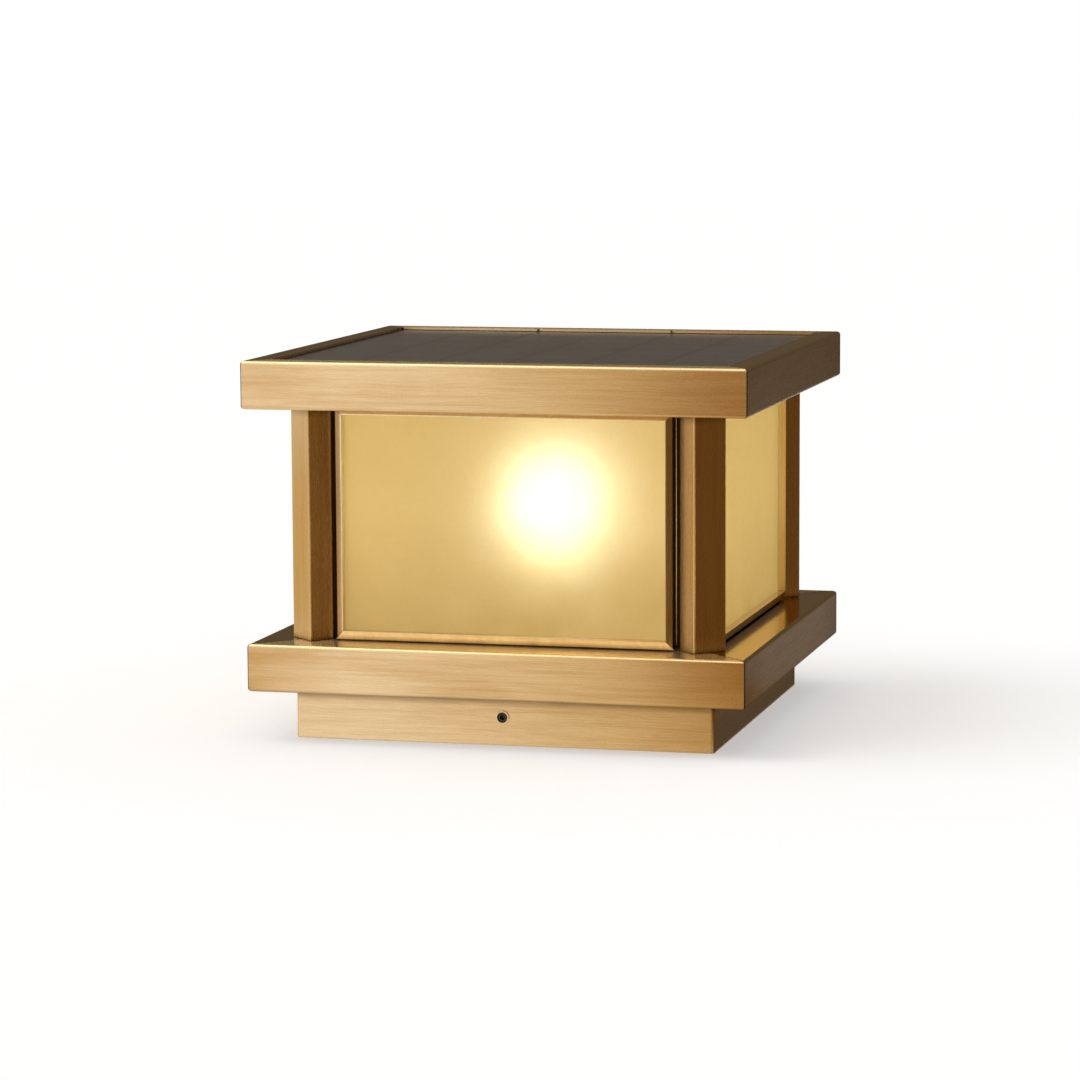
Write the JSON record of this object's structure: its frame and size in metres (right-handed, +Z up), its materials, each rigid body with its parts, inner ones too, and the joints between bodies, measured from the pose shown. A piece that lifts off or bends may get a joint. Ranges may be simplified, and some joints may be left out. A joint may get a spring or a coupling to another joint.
{
  "type": "pillar light",
  "caption": "Square brass pillar light: a lantern with frosted amber panes under a solar cap, lowered over a bracket and clamped by set screws.",
  "frame": {"origin": "middle of the light's footprint, on the pillar's top face", "axes": "+Z up; -Y towards the front with a clamp screw; +X towards the right side"},
  "size_m": [0.3, 0.3, 0.2245],
  "materials": {
    "brass_rail_x": "brushed brass sheet, grain along the rail",
    "brass_rail_y": "brushed brass sheet, grain along the rail",
    "brass_plinth": "brushed brass sheet, grain level",
    "brass_post": "brushed brass tube, grain upright",
    "brass_frame": "satin brass bead",
    "amber_glass": "amber frosted glass with a fine texture",
    "dark_brass": "darkened brass sheet, left unpolished",
    "clear_silicone": "clear silicone bead",
    "black_rubber": "matt black",
    "solar_cover": "dark neutral grey cover, satin",
    "tray_sheet": "plain sheet",
    "white_soffit": "white paint, matt",
    "zinc_steel": "zinc plated",
    "black_steel": "blackened steel",
    "tip_brass": "plain machined",
    "battery_wrap": "shrink wrap",
    "black_case": "fine texture",
    "white_ceramic": "white glaze",
    "lamp_shell_metal": "nickel plated",
    "lamp_black": "glass insulator, black",
    "lamp_white": "white moulding",
    "lamp_opal": "opal, lit from inside"
  },
  "bodies": {
    "bracket": {"mounting_bracket": "zinc_steel", "lamp_stand": "zinc_steel", "stand_rivets": "zinc_steel", "lamp_holder": "white_ceramic", "holder_nut": "zinc_steel", "holder_sleeve": "tip_brass", "holder_contact": "tip_brass"},
    "lantern": {"cap_rail_front": "brass_rail_x", "cap_rail_back": "brass_rail_x", "base_rail_front": "brass_rail_x", "base_rail_back": "brass_rail_x", "cap_rail_right": "brass_rail_y", "cap_rail_left": "brass_rail_y", "base_rail_right": "brass_rail_y", "base_rail_left": "brass_rail_y", "plinth": "brass_plinth", "clamp_bushes": "brass_plinth", "plinth_rivets": "brass_plinth", "post_front_right": "brass_post", "post_back_right": "brass_post", "post_back_left": "brass_post", "post_front_left": "brass_post", "window_frame_front": "brass_frame", "window_frame_right": "brass_frame", "window_frame_back": "brass_frame", "window_frame_left": "brass_frame", "frame_rivets": "brass_frame", "corner_angles": "dark_brass", "window_pane_front": "amber_glass", "window_pane_right": "amber_glass", "window_pane_back": "amber_glass", "window_pane_left": "amber_glass", "pane_seal_front": "clear_silicone", "pane_seal_right": "clear_silicone", "pane_seal_back": "clear_silicone", "pane_seal_left": "clear_silicone", "panel_gasket": "black_rubber", "solar_panel": "solar_cover", "panel_tray": "tray_sheet", "soffit": "white_soffit", "base_gussets": "zinc_steel", "cap_gussets": "zinc_steel", "tie_rods": "zinc_steel", "tie_washers": "zinc_steel", "tie_nuts": "zinc_steel", "soffit_screws": "zinc_steel", "soffit_nuts": "zinc_steel", "battery_strap": "zinc_steel", "battery_pack": "battery_wrap", "charge_controller": "black_case"},
    "front_tip": {"clamp_tip_front": "tip_brass"},
    "front_screw": {"clamp_screw_front": "black_steel"},
    "back_tip": {"clamp_tip_back": "tip_brass"},
    "back_screw": {"clamp_screw_back": "black_steel"},
    "lamp_foot": {"lamp_contact": "tip_brass"},
    "lamp": {"lamp_insulator": "lamp_black", "lamp_shell": "lamp_shell_metal", "lamp_body": "lamp_white", "lamp_board": "lamp_white", "lamp_globe": "lamp_opal"}
  },
  "joints": [
    {"name": "lantern_lift", "type": "slide", "parent": "bracket", "child": "lantern", "axis": [0, 0, 1], "range_m": [0, 0.175]},
    {"name": "front_clamp_travel", "type": "slide", "parent": "lantern", "child": "front_tip", "axis": [0, -1, 0], "range_m": [0, 0.00505]},
    {"name": "front_clamp_turn", "type": "hinge", "parent": "front_tip", "child": "front_screw", "pos_m": [0, -0.12, 0.0165], "axis": [0, -1, 0], "range_deg": [0, 1800]},
    {"name": "back_clamp_travel", "type": "slide", "parent": "lantern", "child": "back_tip", "axis": [0, 1, 0], "range_m": [0, 0.00505]},
    {"name": "back_clamp_turn", "type": "hinge", "parent": "back_tip", "child": "back_screw", "pos_m": [0, 0.12, 0.0165], "axis": [0, 1, 0], "range_deg": [0, 1800]},
    {"name": "lamp_travel", "type": "slide", "parent": "bracket", "child": "lamp_foot", "axis": [0, 0, 1], "range_m": [0, 0.0182]},
    {"name": "lamp_turn", "type": "hinge", "parent": "lamp_foot", "child": "lamp", "pos_m": [0, 0, 0.051], "axis": [0, 0, 1], "range_deg": [0, 1800]}
  ],
  "couplings": [
    {"joint": "front_clamp_travel", "follows": "front_clamp_turn", "m_per_rad": 0.00015915},
    {"joint": "back_clamp_travel", "follows": "back_clamp_turn", "m_per_rad": 0.00015915},
    {"joint": "lamp_travel", "follows": "lamp_turn", "m_per_rad": 0.0005775}
  ]
}
